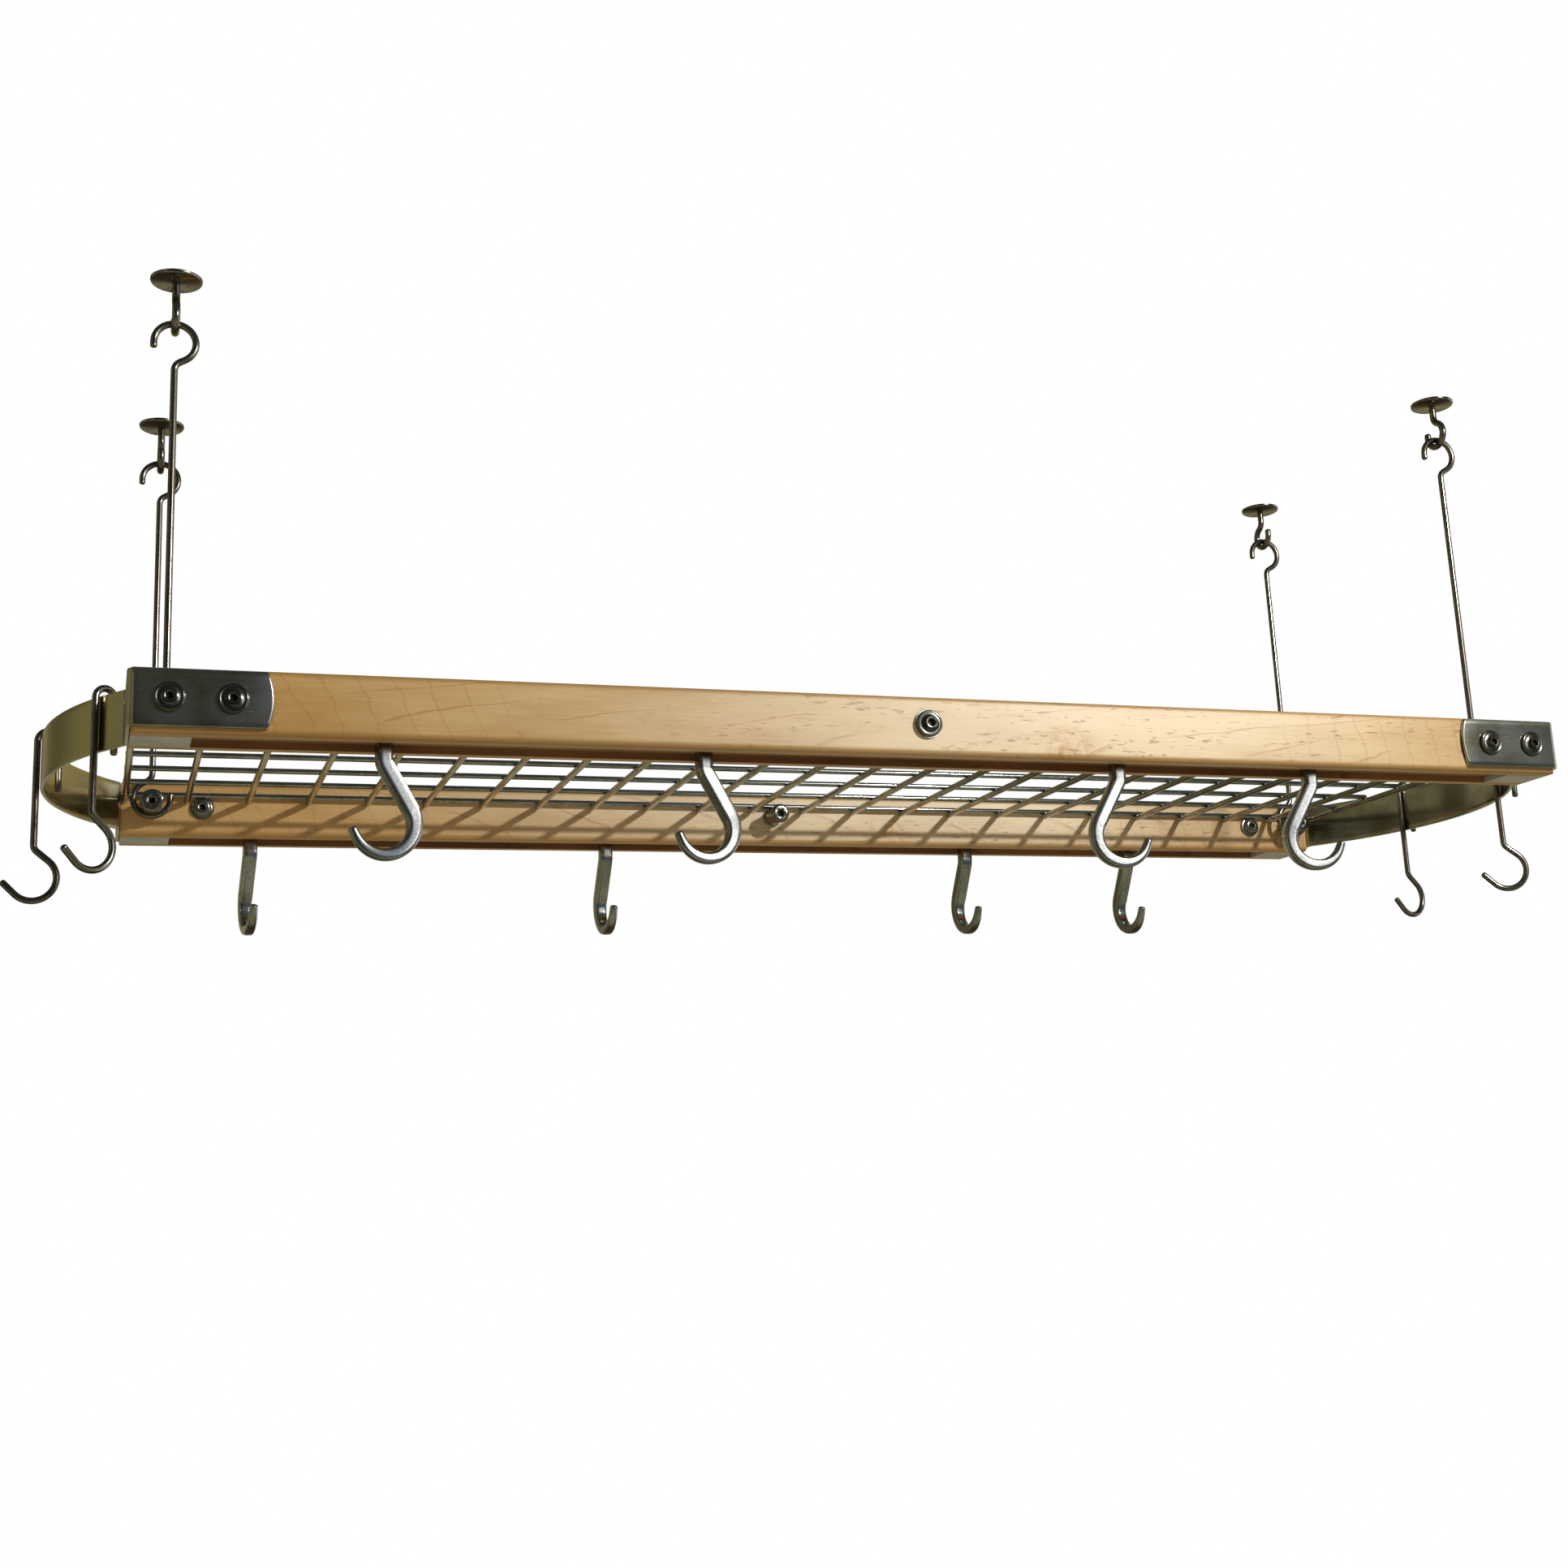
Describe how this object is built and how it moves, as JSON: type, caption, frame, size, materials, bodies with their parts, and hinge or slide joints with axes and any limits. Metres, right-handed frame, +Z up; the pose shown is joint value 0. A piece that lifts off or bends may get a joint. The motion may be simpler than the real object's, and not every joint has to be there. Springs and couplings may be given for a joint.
{
  "type": "hanging pot rack",
  "caption": "Ceiling-hung pot rack: two long wooden rails joined by bowed steel end bands, with a wire shelf between them, sliding swivel hooks below and loose wire hooks on the bows.",
  "frame": {"origin": "on the ceiling plane, midway between the four ceiling hooks", "axes": "+Z up to the ceiling, +X along the rails towards the right-hand bow, front rail on the -Y side"},
  "size_m": [1.3218, 0.4602, 0.4499],
  "materials": {
    "maple": "satin clear lacquer",
    "band_steel": "brushed along the strip",
    "grid_wire": "bright plated wire",
    "bolt_steel": "polished",
    "stop_steel": "dull plated",
    "glide_nylon": "matt",
    "hook_steel": "satin",
    "rod_steel": "bright drawn wire"
  },
  "bodies": {
    "ceiling_hooks": {"ceiling_hook_front_left": "rod_steel", "ceiling_hook_front_right": "rod_steel", "ceiling_hook_back_left": "rod_steel", "ceiling_hook_back_right": "rod_steel"},
    "rod_front_left": {"hanger_rod_front_left": "rod_steel"},
    "rod_front_right": {"hanger_rod_front_right": "rod_steel"},
    "rod_back_left": {"hanger_rod_back_left": "rod_steel"},
    "rod_back_right": {"hanger_rod_back_right": "rod_steel"},
    "rack": {"rail_front": "maple", "rail_back": "maple", "end_band_right": "band_steel", "end_band_left": "band_steel", "shelf_grid": "grid_wire", "bolt_front_1": "bolt_steel", "bolt_front_2": "bolt_steel", "bolt_front_3": "bolt_steel", "bolt_front_4": "bolt_steel", "bolt_front_5": "bolt_steel", "washer_front": "bolt_steel", "spool_front_middle": "bolt_steel", "spool_front_left": "bolt_steel", "cap_nut_front_left": "bolt_steel", "slot_stop_front_left": "stop_steel", "spool_front_right": "bolt_steel", "cap_nut_front_right": "bolt_steel", "slot_stop_front_right": "stop_steel", "bolt_back_1": "bolt_steel", "bolt_back_2": "bolt_steel", "bolt_back_3": "bolt_steel", "bolt_back_4": "bolt_steel", "bolt_back_5": "bolt_steel", "washer_back": "bolt_steel", "spool_back_middle": "bolt_steel", "spool_back_left": "bolt_steel", "cap_nut_back_left": "bolt_steel", "slot_stop_back_left": "stop_steel", "spool_back_right": "bolt_steel", "cap_nut_back_right": "bolt_steel", "slot_stop_back_right": "stop_steel"},
    "glide_front_1": {"glide_front_1": "glide_nylon"},
    "track_hook_front_1": {"track_hook_front_1": "hook_steel"},
    "glide_front_2": {"glide_front_2": "glide_nylon"},
    "track_hook_front_2": {"track_hook_front_2": "hook_steel"},
    "glide_front_3": {"glide_front_3": "glide_nylon"},
    "track_hook_front_3": {"track_hook_front_3": "hook_steel"},
    "glide_front_4": {"glide_front_4": "glide_nylon"},
    "track_hook_front_4": {"track_hook_front_4": "hook_steel"},
    "glide_back_1": {"glide_back_1": "glide_nylon"},
    "track_hook_back_1": {"track_hook_back_1": "hook_steel"},
    "glide_back_2": {"glide_back_2": "glide_nylon"},
    "track_hook_back_2": {"track_hook_back_2": "hook_steel"},
    "glide_back_3": {"glide_back_3": "glide_nylon"},
    "track_hook_back_3": {"track_hook_back_3": "hook_steel"},
    "glide_back_4": {"glide_back_4": "glide_nylon"},
    "track_hook_back_4": {"track_hook_back_4": "hook_steel"},
    "band_hook_left_1": {"band_hook_left_1": "rod_steel"},
    "band_hook_left_2": {"band_hook_left_2": "rod_steel"},
    "band_hook_right_1": {"band_hook_right_1": "rod_steel"},
    "band_hook_right_2": {"band_hook_right_2": "rod_steel"}
  },
  "joints": [
    {"name": "rod_front_left_swing", "type": "hinge", "parent": "ceiling_hooks", "child": "rod_front_left", "pos_m": [-0.5595, -0.15, -0.042], "axis": [0, 1, 0], "range_deg": [-8, 8]},
    {"name": "rack_swing", "type": "hinge", "parent": "rod_front_left", "child": "rack", "pos_m": [-0.5595, -0.15, -0.342], "axis": [0, 1, 0], "range_deg": [-8, 8]},
    {"name": "rod_front_right_swing", "type": "hinge", "parent": "ceiling_hooks", "child": "rod_front_right", "pos_m": [0.5595, -0.15, -0.042], "axis": [0, 1, 0], "range_deg": [-8, 8]},
    {"name": "rod_back_left_swing", "type": "hinge", "parent": "ceiling_hooks", "child": "rod_back_left", "pos_m": [-0.5595, 0.15, -0.042], "axis": [0, 1, 0], "range_deg": [-8, 8]},
    {"name": "rod_back_right_swing", "type": "hinge", "parent": "ceiling_hooks", "child": "rod_back_right", "pos_m": [0.5595, 0.15, -0.042], "axis": [0, 1, 0], "range_deg": [-8, 8]},
    {"name": "glide_front_1_slide", "type": "slide", "parent": "rack", "child": "glide_front_1", "axis": [1, 0, 0], "range_m": [-0.119, 0.09]},
    {"name": "track_hook_front_1_swivel", "type": "hinge", "parent": "glide_front_1", "child": "track_hook_front_1", "pos_m": [-0.411, -0.193, -0.36625], "axis": [0, 0, 1], "continuous": true},
    {"name": "glide_front_2_slide", "type": "slide", "parent": "rack", "child": "glide_front_2", "axis": [1, 0, 0], "range_m": [-0.09, 0.146]},
    {"name": "track_hook_front_2_swivel", "type": "hinge", "parent": "glide_front_2", "child": "track_hook_front_2", "pos_m": [-0.173, -0.193, -0.36625], "axis": [0, 0, 1], "continuous": true},
    {"name": "glide_front_3_slide", "type": "slide", "parent": "rack", "child": "glide_front_3", "axis": [1, 0, 0], "range_m": [-0.146, 0.062]},
    {"name": "track_hook_front_3_swivel", "type": "hinge", "parent": "glide_front_3", "child": "track_hook_front_3", "pos_m": [0.175, -0.193, -0.36625], "axis": [0, 0, 1], "continuous": true},
    {"name": "glide_front_4_slide", "type": "slide", "parent": "rack", "child": "glide_front_4", "axis": [1, 0, 0], "range_m": [-0.061, 0.175]},
    {"name": "track_hook_front_4_swivel", "type": "hinge", "parent": "glide_front_4", "child": "track_hook_front_4", "pos_m": [0.355, -0.193, -0.36625], "axis": [0, 0, 1], "continuous": true},
    {"name": "glide_back_1_slide", "type": "slide", "parent": "rack", "child": "glide_back_1", "axis": [1, 0, 0], "range_m": [-0.055, 0.131]},
    {"name": "track_hook_back_1_swivel", "type": "hinge", "parent": "glide_back_1", "child": "track_hook_back_1", "pos_m": [-0.475, 0.193, -0.36625], "axis": [0, 0, 1], "continuous": true},
    {"name": "glide_back_2_slide", "type": "slide", "parent": "rack", "child": "glide_back_2", "axis": [1, 0, 0], "range_m": [-0.131, 0.154]},
    {"name": "track_hook_back_2_swivel", "type": "hinge", "parent": "glide_back_2", "child": "track_hook_back_2", "pos_m": [-0.155, 0.193, -0.36625], "axis": [0, 0, 1], "continuous": true},
    {"name": "glide_back_3_slide", "type": "slide", "parent": "rack", "child": "glide_back_3", "axis": [1, 0, 0], "range_m": [-0.154, 0.061]},
    {"name": "track_hook_back_3_swivel", "type": "hinge", "parent": "glide_back_3", "child": "track_hook_back_3", "pos_m": [0.209, 0.193, -0.36625], "axis": [0, 0, 1], "continuous": true},
    {"name": "glide_back_4_slide", "type": "slide", "parent": "rack", "child": "glide_back_4", "axis": [1, 0, 0], "range_m": [-0.061, 0.142]},
    {"name": "track_hook_back_4_swivel", "type": "hinge", "parent": "glide_back_4", "child": "track_hook_back_4", "pos_m": [0.388, 0.193, -0.36625], "axis": [0, 0, 1], "continuous": true},
    {"name": "band_hook_left_1_slide", "type": "hinge", "parent": "rack", "child": "band_hook_left_1", "pos_m": [-0.392, 0, -0.32175], "axis": [0, 0, -1], "range_deg": [-3, 15]},
    {"name": "band_hook_left_2_slide", "type": "hinge", "parent": "rack", "child": "band_hook_left_2", "pos_m": [-0.392, 0, -0.32175], "axis": [0, 0, -1], "range_deg": [-15, 35]},
    {"name": "band_hook_right_1_slide", "type": "hinge", "parent": "rack", "child": "band_hook_right_1", "pos_m": [0.392, 0, -0.32175], "axis": [0, 0, 1], "range_deg": [-12, 17.5]},
    {"name": "band_hook_right_2_slide", "type": "hinge", "parent": "rack", "child": "band_hook_right_2", "pos_m": [0.392, 0, -0.32175], "axis": [0, 0, 1], "range_deg": [-17.5, 21]}
  ],
  "couplings": [
    {"joint": "rack_swing", "follows": "rod_front_left_swing", "ratio": -1},
    {"joint": "rod_front_right_swing", "follows": "rod_front_left_swing", "ratio": 1},
    {"joint": "rod_back_left_swing", "follows": "rod_front_left_swing", "ratio": 1},
    {"joint": "rod_back_right_swing", "follows": "rod_front_left_swing", "ratio": 1}
  ]
}
